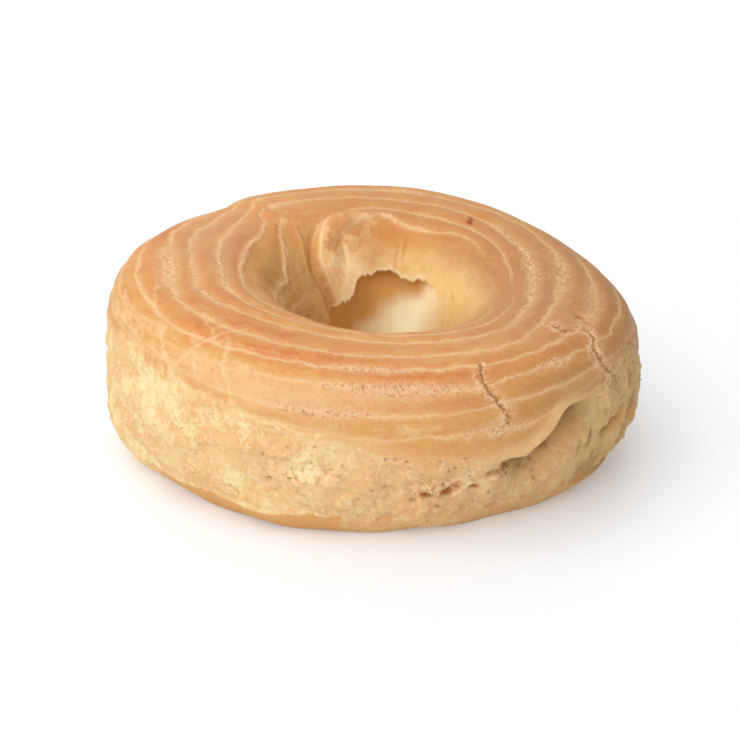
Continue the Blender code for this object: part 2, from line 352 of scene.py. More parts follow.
# Crumbly, broken places: ring angle, section angle, half their length and height, relief in mm
roughSpots = (
    (338, 26, 16, 20, 0.55),
    (254, -6, 14, 15, 0.75),
    (285, -15, 16, 14, 0.9),
    (331, 61, 8, 9, 0.35),
)

# Stronger (above 0) and paler (below 0) baked patches of the crust: ring angle, section angle,
# half their length and height in degrees, strength
bakedPatches = (
    (246, 61, 26, 7, 0.6), (240, 80, 22, 7, 0.45), (220, 74, 12, 9, 0.35),
    (284, 52, 17, 6, 0.6), (284, 38, 17, 6, 0.35), (312, 52, 13, 6, 0.45),
    (240, 43, 20, 9, -0.45), (266, 26, 28, 7, -0.4), (205, 45, 26, 12, -0.5),
    (336, 38, 5, 10, 0.9), (300, 12, 12, 12, -0.5), (170, 64, 30, 7, 0.4),
    (200, 90, 25, 7, 0.3), (150, 105, 30, 12, 0.3), (355, 88, 45, 7, 0.3),
    (20, 103, 40, 8, 0.25), (80, 92, 40, 9, 0.25),
)

# Pale seams between the tiles of the left shoulder: (ring angle, section angle) along each
tileSeams = (
    ((190, 52), (200, 51), (210, 53), (220, 57), (232, 60), (246, 62)),
    ((212, 53), (216, 48), (219, 42), (221, 37)),
    ((222, 57), (226, 50), (228, 44), (229, 38)),
    ((232, 60), (234, 53), (236, 45), (238, 36), (240, 28)),
    ((196, 66), (204, 60), (212, 53)),
    ((214, 76), (220, 70), (226, 64), (229, 60)),
    ((198, 51), (203, 45), (207, 38)),
    ((190, 45), (200, 44), (212, 42), (222, 41)),
)

skinLevels = (-0.22, -0.01, 0.2)  # heights of its folds at which the wall's skin has torn


def waves(b, angle, table):
    total = 0
    for turns, size, peak in table:
        total += size * b.cos((angle - peak) * turns)
    return total


def fromSeam(b, angle, seamShift):
    # the ring angle once round from the seam, which wanders a little over the crust
    return b.maths("WRAP", angle + seamShift, ring["seamAngle"] + 360, ring["seamAngle"])


def pitHoles(b, angle, section, place):
    # how deep in mm and how reddened the holes in the wall are
    wobble = 0.9 * b.noise(place, 1.6, 2, 0.6, 7)
    dip = 0
    red = 0
    for at, high, wide, tallness, depth, redness in pits:
        flat = b.turnFrom(angle + wobble, at) * (0.8 / wide)
        upward = (section - high + 1.3 * wobble) * (0.33 / tallness)
        share = b.maths("EXPONENT", -((flat * flat + upward * upward) ** 1.3))
        dip = b.most(dip, depth * share)
        red = b.most(red, redness * b.step(share, 0.35, 0.75))
    return dip, red


def notchAt(b, angle, section):
    # the small fold in the wall at the right, sharp at its upper edge
    under = 3.5 + 0.75 * b.turnFrom(angle, 328.5) - section
    notch = b.between(under, 0, 1.6, 2, 12)
    return notch * b.between(angle, 323, 327, 331, 336)


def skinPlates(b, place):
    # bent patches of skin, a few mm wide, each with a level and a tone from -1 to 1
    bent = b.node("ShaderNodeTexNoise", {}, {"Vector": place, "Scale": 0.35, "Detail": 3.0})
    shifted = b.vectors("MULTIPLY_ADD", bent.outputs["Color"], (7, 7, 7), place)
    plates = b.node(
        "ShaderNodeTexVoronoi",
        {"feature": "SMOOTH_F1"},
        {"Vector": shifted, "Scale": 1 / 4.2, "Smoothness": 0.1},
    )
    apart = b.node("ShaderNodeSeparateXYZ", {}, {0: plates.outputs["Color"]})
    return Num(b, apart.outputs[0]) * 2 - 1, Num(b, apart.outputs[1]) * 2 - 1


def wallSkin(b, place, angle):
    # the wall's torn skin: where its folds run upright, its flakes, and its folds
    streaky = b.most(b.bump(angle, 200, 34), b.bump(angle, 335, 32))
    plain = b.noise(place, 7, 3, 0.5, 11)
    upright = b.noise(b.vectors("MULTIPLY", place, (1, 1, 0.3)), 5, 2, 0.5, 4)
    flakes = b.noise(place, 2.4, 3, 0.6, 14)
    folds = plain + (upright - plain) * streaky + 0.25 * flakes
    return {"streaky": streaky, "flakes": flakes, "folds": folds}


def tileLines(b, round, section):
    # 1 along the pale seams of the left shoulder, each fading at its ends
    seams = 0
    for points in tileSeams:
        start, end = points[0][0], points[-1][0]
        away = (section - b.along(round, points)) * 0.3
        here = b.between(round, start - 2, start + 1, end - 1, end + 2)
        steep = 1 + abs(points[-1][1] - points[0][1]) / (end - start) * 0.8
        seams = b.most(seams, here * b.bell(away, 0.2 * steep))
    return seams


# Sizes that the ring's node group takes as its inputs
ringInputs = {
    "outerRadius": "Outer radius",
    "holeRadius": "Hole radius",
    "height": "Height",
    "widestHeight": "Widest height",
    "footCut": "Foot cut",
    "grooveDepth": "Groove depth",
    "ridgeSwell": "Ridge swell",
    "tearDepth": "Tear depth",
    "tearRoof": "Tear roof",
    "flapRecess": "Flap recess",
    "lobeBulge": "Lobe bulge",
}


def ringTree(material):
    tree = bpy.data.node_groups.new("pipedRing", "GeometryNodeTree")
    b = Board(tree)
    tree.interface.new_socket("Geometry", in_out="OUTPUT", socket_type="NodeSocketGeometry")
    for key, label in ringInputs.items():
        made = tree.interface.new_socket(label, in_out="INPUT", socket_type="NodeSocketFloat")
        made.default_value = ring[key]
    source = b.node("NodeGroupInput")
    given = {key: Num(b, source.outputs[label]) for key, label in ringInputs.items()}

    # a torus of rows and columns, which are then set where they belong
    rows = ring["rows"]
    rowCount = sum(rows.values())
    spine = b.node("GeometryNodeCurvePrimitiveCircle", {}, {"Resolution": ring["columns"]})
    profile = b.node(
        "GeometryNodeCurvePrimitiveCircle", {}, {"Resolution": rowCount, "Radius": 0.3}
    )
    torus = b.node(
        "GeometryNodeCurveToMesh",
        {},
        {"Curve": spine.outputs["Curve"], "Profile Curve": profile.outputs["Curve"]},
    )
    index = Num(b, b.node("GeometryNodeInputIndex").outputs[0])
    column = b.maths("FLOOR", (index + 0.5) / rowCount)
    row = index - column * rowCount
    angle = column * (360 / ring["columns"])
    even = angle
    for centre, closeness in ring["crowded"]:
        away = b.turnFrom(even, centre)
        angle -= closeness * away * b.bell(away, 6)
    # how far each part of the section has been gone along, from 0 to 1
    done = {}
    start = 0
    for part, count in rows.items():
        done[part] = b.ramp(row, start, start + count)
        start += count
    upCrust = b.vector(done["crust"] * 60, 0, 0)
    seamShift = ring["seamWander"] * b.noise(upCrust, 10, 3, 0.6, 13)
    round = fromSeam(b, angle, seamShift)

    # where the wall is torn, and its lip
    torn = b.step(angle, 35, 70) * (0.35 + 0.65 * b.ramp(angle, 50, 105))
    torn *= b.fall(angle, 117, 125)
    tornRow = b.between(angle, 4, 26, 125, 133)
    spot = b.vector(angle, 0, 0)
    ragged = 3.4 * b.noise(spot, 4, 3, 0.6) + 1.0 * b.noise(spot, 1.6, 2, 0.5, 5)
    smoothLip = ring["smoothLip"]
    lip = smoothLip + tornRow * (b.along(angle, lipLine) + ragged - smoothLip)
    uneven = (1 + 3 * b.bump(angle, 80, 120)) * b.noise(spot, 8, 3, 0.6, 9)

    # the section angle of each row
    lines = {}
    for number, points in grooveLines.items():
        lines[number] = b.along(round, points)
    lines[6] += uneven
    lines[-4] = lip
    edge = lines[6]
    crust = edge + (lip - edge) * done["crust"]
    under = ring["undercutAngle"]
    footMiddle, footOut, footIn = ring["footMiddle"], ring["footOutAngle"], ring["footInAngle"]
    outside = footMiddle + (footOut - footMiddle) * done["footOut"]
    outside += (edge - under - footOut) * done["wall"] + under * done["undercut"]
    inside = lip + (footIn - lip) * done["hole"] ** ring["holeSpacing"]
    inside += (footMiddle + 360 - footIn) * done["footIn"]
    section = outside + (crust - edge) + (inside - lip)

    strand = 6
    for number in range(5, -5, -1):
        strand -= b.ramp(section, lines[number + 1], lines[number])

    # the smooth rounded section
    outer = given["outerRadius"] + waves(b, angle, ring["outerWaves"])
    hole = given["holeRadius"] + waves(b, angle, ring["holeWaves"])
    height = given["height"] + waves(b, angle, ring["heightWaves"])
    across = b.cos(section)
    up = b.sin(section)
    isUp = b.maths("GREATER_THAN", up, 0)
    isOut = b.maths("GREATER_THAN", across, 0)
    widest = given["widestHeight"]
    halfWidth = (outer - hole) / 2
    halfHeight = (height - widest) * isUp + (widest + given["footCut"]) * (1 - isUp)
    full = ring["fullness"]
    power = (full["crust"] * isUp + full["wall"] * (1 - isUp)) * isOut + full["hole"] * (1 - isOut)
    reach = b.size(across / halfWidth) ** power + b.size(up / halfHeight) ** power
    reach = reach ** (-1 / power)
    middle = (outer + hole) / 2
    rest = b.vector(
        (middle + reach * across) * b.cos(angle),
        (middle + reach * across) * b.sin(angle),
        widest + reach * up,
    )

    # the piped ridges and the porous lines between them
    nearest = b.maths("ROUND", strand)
    offGroove = strand - nearest
    perLine = b.noise(b.vector(angle, nearest * 40, 0), 12, 2, 0.5)
    lineWidth = ring["lineWidth"] + ring["lineUneven"] * perLine
    lineWide = 0
    for number, at, halfLength, width in porousLines:
        isLine = b.fall(b.size(strand - number), 0.45, 0.5)
        lineWide = b.most(lineWide, width * isLine * b.bump(angle, at, halfLength))
    lineWidth += lineWide
    groove = b.bell(offGroove, lineWidth)
    swell = 0.5 - 0.5 * b.cos(offGroove * 360)
    smoothWall = b.bump(angle, 25, 75) * b.step(section, 101, 112) * b.fall(angle, 60, 68)
    smoothWall = b.most(smoothWall, b.bump(angle, 350, 40) * b.step(section, 101, 112))
    leftFront = b.bump(angle, 215, 36) * b.fall(section, 44, 54)
    fade = b.step(section, 2, 26) * b.fall(section, 146, 158) * (1 - smoothWall)
    underLip = b.step(-2.4 - strand, 0, 0.2) * b.bump(angle, 88, 62)
    fade *= (1 - 0.85 * leftFront) * (1 - underLip)
    pore = b.fall(b.cells(rest, ring["poreGrain"]), 0.15, 0.5)
    poreDepth = ring["poreDepth"] * pore * b.step(lineWide, 0.03, 0.1)
    relief = given["ridgeSwell"] * swell - (given["grooveDepth"] + poreDepth) * groove
    relief *= fade
    raised = b.bump(angle, 165, 48) * b.between(section, 93, 104, 146, 156)
    relief += ring["innerLineRise"] * raised * groove

    # the seam and the lobe that ends the piping
    seam = ring["seamAngle"]
    fresh = b.fall(round, seam, seam + 45) * b.step(round, seam, seam + 6)
    onTop = b.between(section, 20, 60, 80, 110)
    relief -= ring["seamDip"] * b.bump(angle, seam + 1, 5) * onTop
    relief -= ring["freshDip"] * fresh * onTop
    insideRim = (b.along(section, lobeRim) - b.turnFrom(angle, 0)) * ring["mmInside"]
    inHole = b.between(section, 99, 114, 160, 185)
    rising = 1 - b.ramp(insideRim, -0.7, 2.6)
    lobe = b.maths("SQRT", 1 - rising * rising) * b.fall(insideRim, 7, 20) * inHole
    relief += 1.3 * given["lobeBulge"] * lobe
    crease = b.bell(insideRim + 1.5, 1.0) * inHole * b.step(section, 104, 124)
    relief -= ring["lobeCrease"] * crease
    shoulder = b.bump(angle, 194, 30) * b.between(section, -25, 5, 35, 60)
    relief -= ring["shoulderDrop"] * shoulder
    bowlRim = lines[-2] - 2
    bowl = b.between(section - bowlRim, 0, 5, 7, 26) * b.between(angle, 62, 72, 108, 120)
    relief -= ring["bowlDepth"] * bowl
    pad = b.between(strand, -3.9, -3.2, -2.5, -2.1) * b.bump(angle, 97, 26)
    relief -= ring["padDepth"] * pad
    strandAway = (b.turnFrom(angle, 0) - b.along(section, strandLine)) * ring["mmInside"]
    strandAway += 0.25 * b.noise(b.vector(section, 0, 0), 3, 2, 0.6, 4)
    strandIn = b.between(section, 103, 112, 134, 141)
    rounded = b.bell(strandAway - 0.7, 0.7) - 0.5 * b.bell(strandAway, 0.4)
    relief += ring["strandRise"] * rounded * strandIn
    innerWall = b.between(section, 114, 124, 143, 150)
    leaning = section - 130
    fold = b.bell(angle - 70.8 + 0.1 * leaning, 1.1) * b.fall(section, 128, 140)
    fold += 0.8 * b.bell(angle - 74.6 + 0.05 * leaning, 1.0) * b.step(section, 120, 132)
    relief -= ring["innerFold"] * fold * innerWall

    # the hollow under the lifted edge of the crust, steepest under the edge
    below = edge - section
    toSide = b.along(section, valleySide) - angle
    flap = b.step(angle, 297, 306) * b.step(toSide, -1.5, 8)
    relief -= given["flapRecess"] * flap * b.between(below, 0, 2.2, 12, 40)
    relief -= ring["notchDepth"] * notchAt(b, angle, section)
    rolled = b.between(below, -11, -1, -0.4, 0.2) * b.bump(angle, 306, 14)
    relief += ring["flapRoll"] * rolled

    # unevenness of the whole and lumps of the pale wall
    pale = 1 - 0.75 * b.step(section, 10, 40)
    lumps = b.sin(angle * 9 + 60) * b.sin(section * 7 + 20) + 0.7 * b.sin(angle * 16 + section * 5)
    relief += ring["lumpHeight"] * lumps * pale
    relief += ring["swayHeight"] * b.sin(angle * 4 + section * 2 + 80)

    # cracks across the ridges, as distances in mm from their lines
    cracked = {}
    wander = 0.8 * b.noise(b.vector(section, angle, 0), 4.5, 3, 0.7, 3)
    split = 0
    for name, (depth, points) in cracks.items():
        low, high = points[0][0], points[-1][0]
        open = b.between(section, low - 1, low + 3, high - 3, high + 1)
        away = b.turnFrom(angle, 0) - b.along(section, points) + 360
        away = away * ring["mmPerTurn"] + wander
        cracked[name] = away / b.most(open, 0.01)
        split += depth * open * (b.bell(away, 0.34) - 0.3 * b.bell(away, 0.8))
    relief -= split

    # the hollow behind the torn lip
    down = (section - lip) / (ring["lowWallAngle"] - lip)
    shadeEnd = b.along(angle, darkLine)
    backStart, backEnd = b.least(shadeEnd - 2, 220), b.least(shadeEnd + 34, 241)
    back = b.step(section - lip, 0, 7) * b.fall(section, backStart, backEnd)
    roof = b.step(section - lip, 0, 4) * b.fall(section - shadeEnd, -4, 8)
    inward = given["tearDepth"] * torn * back
    upward = given["tearRoof"] * torn * roof

    radius = middle + (reach + relief) * across + inward
    tall = widest + (reach + relief) * up + upward
    rimTop = ring["rimHeight"] * (0.9 + 0.12 * b.noise(spot, 4, 2, 0.6, 6))
    isRim = b.fall(tall, 0.86 * rimTop, rimTop)
    outward = b.maths("LESS_THAN", section, 90)
    radius += ring["rimStep"] * isRim * outward
    lowered = b.fall(tall, 1, 19) * b.ramp(section, footMiddle, -58) * outward
    radius -= b.along(angle, drawnIn) * lowered
    tall = b.most(tall, 0)
    place = b.vector(
        radius * b.cos(angle) + ring["axisX"], radius * b.sin(angle) + ring["axisY"], tall
    )

    # the finer surface, out along the normal
    isWall = b.step(below, 0.5, 6) * b.step(tall, 0.3, 1.5) * (1 - 0.8 * isRim)
    skin = wallSkin(b, rest, angle)
    streaky, folds = skin["streaky"], skin["folds"]
    layers = 0
    for level in skinLevels:
        layers += b.step(folds, level - 0.04, level + 0.04)
    layers /= len(skinLevels)
    grain = b.noise(rest, 4.5, 4, 0.6)
    dimple = b.fall(b.cells(rest, 1.9), 0.1, 0.5) * b.step(grain, 0.05, 0.35)
    dimple *= 1 - 0.8 * streaky
    fine = 0.35 * grain + 0.3 * (layers - 0.5) + (0.7 + 0.4 * streaky) * folds - 0.3 * dimple
    deepFolds = b.bump(angle, 332, 24)
    fine = isWall * (fine + 0.35 * skinPlates(b, rest)[0] + 0.75 * deepFolds * folds)
    isCrust = b.between(section, 6, 22, 150, 158)
    crumbs = b.noise(rest, 0.9, 2, 0.5, 5)
    fine += isCrust * (0.09 * b.noise(rest, 5, 3, 0.5, 8) + 0.16 * crumbs * groove * fade)
    fine += 0.05 * tileLines(b, round, section)
    rough = 0
    for at, high, halfLength, halfHeight, size in roughSpots:
        rough += size * b.bump(angle, at, halfLength) * b.bump(section, high, halfHeight)
    fine += rough * b.noise(rest, 1.8, 3, 0.6, 16)
    hollow = b.between(angle, 20, 60, 117, 125) * b.between(down, 0.01, 0.05, 0.8, 1)
    inTear = b.step(section, 150, 165) * b.step(tall, 0.5, 3)
    fine += 0.2 * b.noise(rest, 3, 3, 0.6, 2) * inTear
    fine -= pitHoles(b, angle, section, rest)[0]

    outwards = b.node("GeometryNodeFlipFaces", {}, {"Mesh": torus.outputs["Mesh"]})
    metres = b.vectors("MULTIPLY", place, (mm, mm, mm))
    geometry = b.changed("GeometryNodeSetPosition", outwards.outputs[0], {"Position": metres})
    keep = {
        "strand": strand,
        "lineWidth": lineWidth,
        "ridged": fade * b.fall(below, -1, 3),
        "belowCrust": below * ring["mmPerSection"],
        "sectionAngle": section,
        "hollow": hollow,
        "torn": torn,
        "pastShade": section - shadeEnd,
        "down": down,
        "insideRim": insideRim / b.most(inHole, 0.02),
        "strandAway": strandAway / b.most(strandIn, 0.02),
        "fineRelief": fine,
        "seamShift": seamShift,
        "dimple": dimple * isWall,
        **cracked,
        "restPlace": rest,
    }
    for name, value in keep.items():
        kind = "FLOAT" if isinstance(value, Num) else "FLOAT_VECTOR"
        geometry = b.changed(
            "GeometryNodeStoreNamedAttribute", geometry,
            {"Name": name, "Value": value}, {"data_type": kind, "domain": "POINT"},
        )
    normal = b.node("GeometryNodeInputNormal").outputs[0]
    kept = b.node("GeometryNodeInputNamedAttribute", {"data_type": "FLOAT"}, {"Name": "fineRelief"})
    rise = Num(b, kept.outputs["Attribute"]) * mm
    push = b.vectors("MULTIPLY", normal, b.vector(rise, rise, rise))
    geometry = b.changed("GeometryNodeSetPosition", geometry, {"Offset": push})
    geometry = b.changed("GeometryNodeSetShadeSmooth", geometry)
    geometry = b.changed("GeometryNodeRealizeInstances", geometry)
    geometry = b.changed("GeometryNodeSetMaterial", geometry, {"Material": material})
    b.node("NodeGroupOutput", {}, {"Geometry": geometry})
    return tree


def plainMesh(holder, name):
    graph = bpy.context.evaluated_depsgraph_get()
    mesh = bpy.data.meshes.new_from_object(holder.evaluated_get(graph))
    mesh.name = name
    piece = bpy.data.objects.new(name, mesh)
    bpy.context.scene.collection.objects.link(piece)
    bpy.data.objects.remove(holder, do_unlink=True)
    return piece


def makeRing(material):
    tree = ringTree(material)
    holder = bpy.data.objects.new("ringHolder", bpy.data.meshes.new("ringHolder"))
    bpy.context.scene.collection.objects.link(holder)
    modifier = holder.modifiers.new("piping", "NODES")
    modifier.node_group = tree
    sockets = {item.name: item.identifier for item in tree.interface.items_tree}
    for key, label in ringInputs.items():
        modifier[sockets[label]] = ring[key]
    return plainMesh(holder, "choux_crust")


# Colours of the dough, from pale to deeply baked, as linear red, green and blue
dough = {
    "cream": (0.86, 0.66, 0.33),
    "straw": (0.77, 0.535, 0.24),
    "beige": (0.77, 0.51, 0.24),
    "crustPale": (0.75, 0.45, 0.19),
    "peach": (0.74, 0.45, 0.22),
    "platePeach": (0.79, 0.44, 0.19),
    "tan": (0.51, 0.30, 0.12),
    "golden": (0.665, 0.335, 0.108),
    "orange": (0.65, 0.25, 0.072),
    "redOrange": (0.60, 0.205, 0.055),
    "brown": (0.44, 0.20, 0.07),
    "olive": (0.46, 0.26, 0.085),
    "lineCream": (0.80, 0.50, 0.25),
    "linePink": (0.76, 0.46, 0.26),
    "veinCream": (0.92, 0.75, 0.46),
    "rimCream": (0.92, 0.67, 0.37),
    "padCream": (0.97, 0.73, 0.40),
    "lobePeach": (0.86, 0.52, 0.24),
    "yellow": (0.84, 0.60, 0.25),
    # the hollow's pale floor, brightened as painted light, and the painted shade under its roof
    "hollowPaleLit": (1.0, 0.88, 0.58),
    "hollowTan": (0.93, 0.74, 0.42),
    "hollowShade": (0.80, 0.45, 0.14),
    "crackBrown": (0.40, 0.175, 0.05),
    "crackDeep": (0.33, 0.12, 0.035),
    "roughTan": (0.64, 0.40, 0.21),
    "rubble": (0.86, 0.56, 0.33),
    "pitBrown": (0.36, 0.17, 0.06),
    "poreBrown": (0.46, 0.20, 0.07),
    "shade": (0.34, 0.18, 0.06),
    "frontTan": (0.69, 0.385, 0.17),
    "red": (0.42, 0.11, 0.03),
    "scorch": (0.33, 0.07, 0.02),
    "mauve": (0.58, 0.28, 0.14),
    # grains and heights in mm
    "poreGrain": 0.75,
    "holeGrain": 1.5,
    "roughHeight": 0.1,
    "speckHeight": 0.16,
    "crumbHeight": 0.04,
    "poreDepth": 0.08,
    "holeDepth": 0.3,
    "roughness": 0.5,
    "specular": 0.18,
    "glow": 0.12,
    "glowRadius": (1.0, 0.45, 0.2),
    "glowScale": 0.0012,
}


def mixed(b, share, first, second):
    made = b.node("ShaderNodeMix", {"data_type": "RGBA"}, {"Factor": share})
    for socket, value in ((made.inputs[6], first), (made.inputs[7], second)):
        b.put(socket, (*value, 1) if isinstance(value, tuple) else value)
    return made.outputs[2]


def laid(b, colour, *coats):
    # coats of the dough's colours, one over another, each with the share that it covers
    for share, name in coats:
        colour = mixed(b, share, colour, dough[name])
    return colour


def doughMaterial():
    material = bpy.data.materials.new("baked choux")
    material.use_nodes = True
    material.node_tree.nodes.clear()
    b = Board(material.node_tree)

    def read(name):
        made = b.node("ShaderNodeAttribute", {"attribute_name": name})
        return Num(b, made.outputs["Fac"])

    def spotAt(at, high, halfLength, halfHeight, shift=0):
        # a soft round patch, 1 in its middle
        flat = b.turnFrom(angle, at) / halfLength
        upward = (section + shift - high) / halfHeight
        return b.maths("EXPONENT", -(flat * flat + upward * upward))

    place = b.node("ShaderNodeAttribute", {"attribute_name": "restPlace"}).outputs["Vector"]
    spot = b.node("ShaderNodeSeparateXYZ", {}, {0: place})
    across, ahead, tall = (Num(b, spot.outputs[i]) for i in range(3))
    # ring angles from 0 to 360, found from the seam so that they only jump there
    seam = ring["seamAngle"]
    turn = math.radians(seam)
    along = across * math.cos(turn) + ahead * math.sin(turn)
    aside = ahead * math.cos(turn) - across * math.sin(turn)
    pastSeam = b.maths("ARCTAN2", -aside, -along) * math.degrees(1)
    angle = b.maths("WRAP", pastSeam + (seam + 180), 360, 0)
    round = fromSeam(b, angle, read("seamShift"))
    section, below = read("sectionAngle"), read("belowCrust")
    strand, lineWidth, ridged = read("strand"), read("lineWidth"), read("ridged")

    # noises of several grains, in mm
    blotch = b.noise(place, 9, 3, 0.55)
    mottle = b.noise(place, 3.5, 4, 0.6, 3)
    speck = b.noise(place, 1.1, 3, 0.6, 6)
    crumb = b.noise(place, 0.55, 2, 0.6, 8)
    piped = b.vector(round * 0.3, section * 0.42, 0)
    streak = b.noise(piped, 3.4, 3, 0.55)
    perRidge = b.noise(b.vector(round * 0.035, b.maths("FLOOR", strand) * 7, 0), 1, 1, 0.5)

    # browned crust, in patches of four shades, with pale and dark dots
    leftSide = b.bump(angle, 215, 50)
    raggedEdge = (1.4 + 4 * leftSide) * (0.8 * blotch + 0.8 * mottle)
    browned = b.fall(below + raggedEdge, -2.2 - 2.5 * leftSide, 0.1)
    fromHole = b.step(section + 7 * blotch, 108, 140)
    baked = 0
    for at, high, halfLength, halfHeight, strength in bakedPatches:
        baked += strength * spotAt(at, high, halfLength, halfHeight)
    tone = 0.4 + 0.8 * streak + 0.4 * perRidge + 0.6 * mottle + 0.3 * speck + 0.3 * blotch + baked
    tone += 0.1 * b.bump(angle, 340, 75) - 0.5 * fromHole
    peachy = spotAt(258, 41, 32, 8) * b.step(mottle, -0.5, 0.1)
    # painted shade: the crust darker at the right and at the back, which turn away from the light
    shadedSide = b.bump(angle, 355, 80) * (1.1 + 0.5 * streak) + 0.3 * b.bump(angle, 75, 70)
    bruised = b.most(spotAt(163, 84, 20, 11), spotAt(168, 100, 22, 10))
    nearEdge = b.most(0.6 * b.bump(angle, 270, 45), 0.9 * b.bump(angle, 305, 26))
    greener = spotAt(316, 32, 18, 10) * b.step(streak, -0.3, 0.2)
    crustColour = laid(
        b, dough["crustPale"],
        (b.step(tone, -0.3, 0.12), "golden"),
        (0.55 * b.step(tone, 0.3, 0.38), "orange"),
        (0.6 * b.step(tone, 0.56, 0.66), "orange"),
        (0.8 * b.step(tone, 0.84, 0.96), "redOrange"),
        (0.75 * peachy, "peach"),
        (0.88 * b.least(shadedSide, 1), "brown"),
        (0.65 * bruised, "mauve"),
        (b.step(below + 0.8 * mottle, -4.5, -0.8) * nearEdge, "beige"),
        (0.55 * greener, "olive"),
        (0.18 * b.step(crumb + 0.4 * speck, 0.24, 0.3), "lineCream"),
        (0.25 * b.step(-crumb + 0.5 * speck, 0.24, 0.34), "redOrange"),
    )

    # pale wall: patches of cream, straw and peach with a few pale rims, and painted shade just
    # below the edges of its folds
    skin = wallSkin(b, place, angle)
    folds, flakes = skin["folds"], skin["flakes"]
    frontward = b.bump(angle, 295, 75)
    rightward = b.bump(angle, 335, 40)
    patchy = b.noise(b.vectors("MULTIPLY", place, (1, 1, 0.7)), 6, 4, 0.65, 21)
    plate, tint = skinPlates(b, place)
    patch = 0.8 * patchy + 0.35 * flakes + 0.2 * plate + 0.16 * frontward - 0.07
    palest = b.step(flakes - 0.5 * patchy, 0.14, 0.26) * (1 - 0.5 * frontward)
    stained = b.step(speck + 0.4 * crumb, 0.14, 0.24) * b.step(patchy, -0.1, 0.1)
    rim = 0
    foldShade = 0
    for level in skinLevels:
        rim = b.most(rim, b.bell(folds - level - 0.05, 0.02))
        foldShade = b.most(foldShade, b.bell(folds - level + 0.05, 0.035))
    rim *= b.step(mottle, 0.0, 0.15)
    foldShade *= b.step(mottle + 0.3 * speck, 0.0, 0.2)
    crumbly = b.most(spotAt(254, -6, 13, 11), spotAt(286, -15, 13, 9))
    holeHere = b.step(mottle + 0.3 * blotch, -0.05, 0.15) * b.bump(angle, 285, 60)
    smallHole = b.fall(b.cells(place, dough["holeGrain"]) + 0.3 * speck, 0.08, 0.25) * holeHere
    wallColour = laid(
        b, dough["cream"],
        (b.step(patch, -0.3, 0.0), "straw"),
        (0.8 * b.step(patch, 0.0, 0.16), "beige"),
        (0.8 * b.step(patch, 0.16, 0.3), "peach"),
        (0.4 * palest, "veinCream"),
        (0.65 * b.bump(angle, 290, 52), "frontTan"),
        (0.55 * b.step(tint, 0.2, 0.4), "platePeach"),
        (0.3 * b.step(-tint, 0.4, 0.6), "cream"),
        ((0.3 + 0.3 * frontward) * stained, "golden"),
        (0.35 * b.step(-speck + 0.4 * crumb, 0.16, 0.24), "veinCream"),
        # painted shade just below each fold edge, pale rims above it
        (0.4 * foldShade, "golden"),
        (0.45 * rim, "veinCream"),
        # painted shade: tan over the right of the wall, which faces away from the light, and dark
        # brown in the low parts of its folds there
        (0.75 * b.bump(angle, 345, 75), "tan"),
        (0.5 * rightward * b.step(folds, 0.02, 0.2), "beige"),
        (0.5 * rightward * b.step(-folds, 0.05, 0.25), "crackBrown"),
        (0.5 * crumbly * b.step(speck, 0.02, 0.1), "veinCream"),
        (0.6 * crumbly * b.step(-speck, 0.08, 0.2), "poreBrown"),
        (0.6 * smallHole, "pitBrown"),
    )
    colour = mixed(b, b.step(browned, 0.1, 0.7), wallColour, crustColour)

    # the wall of the hole: yellow at the right, and olive painted shade on the left, which faces
    # away from the light
    yellowed = b.step(section + 9 * blotch + 4 * mottle, 114, 140) * b.bump(angle, 28, 90)
    hung = b.noise(b.vectors("MULTIPLY", place, (1, 1, 0.3)), 2.2, 3, 0.6, 12)
    yellowColour = laid(b, dough["yellow"], (0.35 * b.step(hung, -0.3, 0.4), "golden"))
    colour = mixed(b, 0.85 * yellowed, colour, yellowColour)
    # painted shade on the left wall of the hole
    leftWallShade = b.step(section + 6 * blotch, 104, 128) * b.bump(angle, 150, 48)
    smudge = spotAt(177, 132, 10, 8) * b.step(mottle, -0.4, 0.1)
    colour = laid(b, colour, (0.42 * leftWallShade, "olive"), (0.5 * smudge, "crackBrown"))

    # lines between the ridges: broken and crumbly, with pores in the wide ones
    wobble = 0.26 * b.noise(place, 4.5, 3, 0.6, 2)
    offGroove = strand + wobble - b.maths("ROUND", strand + wobble)
    fromLine = b.size(offGroove) / lineWidth
    ragged = 0.9 * speck + 1.1 * mottle + 0.6 * crumb
    present = 0.35 + 0.65 * b.step(blotch + mottle + 0.4 * speck, -0.5, 0.1)
    present *= 1 - 0.45 * b.bump(angle, 90, 45)
    porous = b.fall(fromLine + ragged, 0.45, 0.95) * ridged
    halo = b.bell(offGroove / lineWidth + 0.6 * mottle, 1.7) * ridged
    pinkHere = b.step(lineWidth, 0.11, 0.18) * b.bump(angle, 275, 70)
    lineColour = laid(
        b, dough["lineCream"],
        (pinkHere, "linePink"),
        (0.5 * b.bump(angle, 0, 80), "tan"),
    )
    colour = mixed(b, 0.35 * halo, colour, lineColour)
    colour = mixed(b, 0.75 * porous * present, colour, lineColour)
    curl = b.bell(b.noise(place, 2.8, 2, 0.5, 31), 0.03) * b.step(mottle, 0.05, 0.15)
    curl *= b.bell(fromLine, 3.2) * ridged
    crumbled = b.step(crumb + 0.5 * speck, 0.16, 0.24) * b.bell(fromLine, 1.4) * ridged * present
    pore = b.fall(b.cells(place, dough["poreGrain"]) + 0.3 * crumb, 0.15, 0.4)
    pore *= b.step(speck, -0.2, 0.05)
    poreHere = b.bell(fromLine, 1.1) * b.step(lineWidth, 0.07, 0.16) * ridged
    paleBits = poreHere * b.step(crumb + 0.5 * speck, 0.02, 0.16)
    darkBits = b.most(pore, 0.8 * b.step(0.4 * speck - crumb, 0.14, 0.26))
    tiles = tileLines(b, round + 3 * mottle, section + 3 * mottle) * b.step(speck, -0.25, 0.0)
    colour = laid(
        b, colour,
        (0.5 * curl, "lineCream"),
        (0.55 * crumbled, "lineCream"),
        ((0.3 + 0.35 * b.bump(angle, 285, 60)) * paleBits, "rubble"),
        (darkBits * poreHere * 0.75, "poreBrown"),
        (0.3 * tiles * present, "veinCream"),
    )
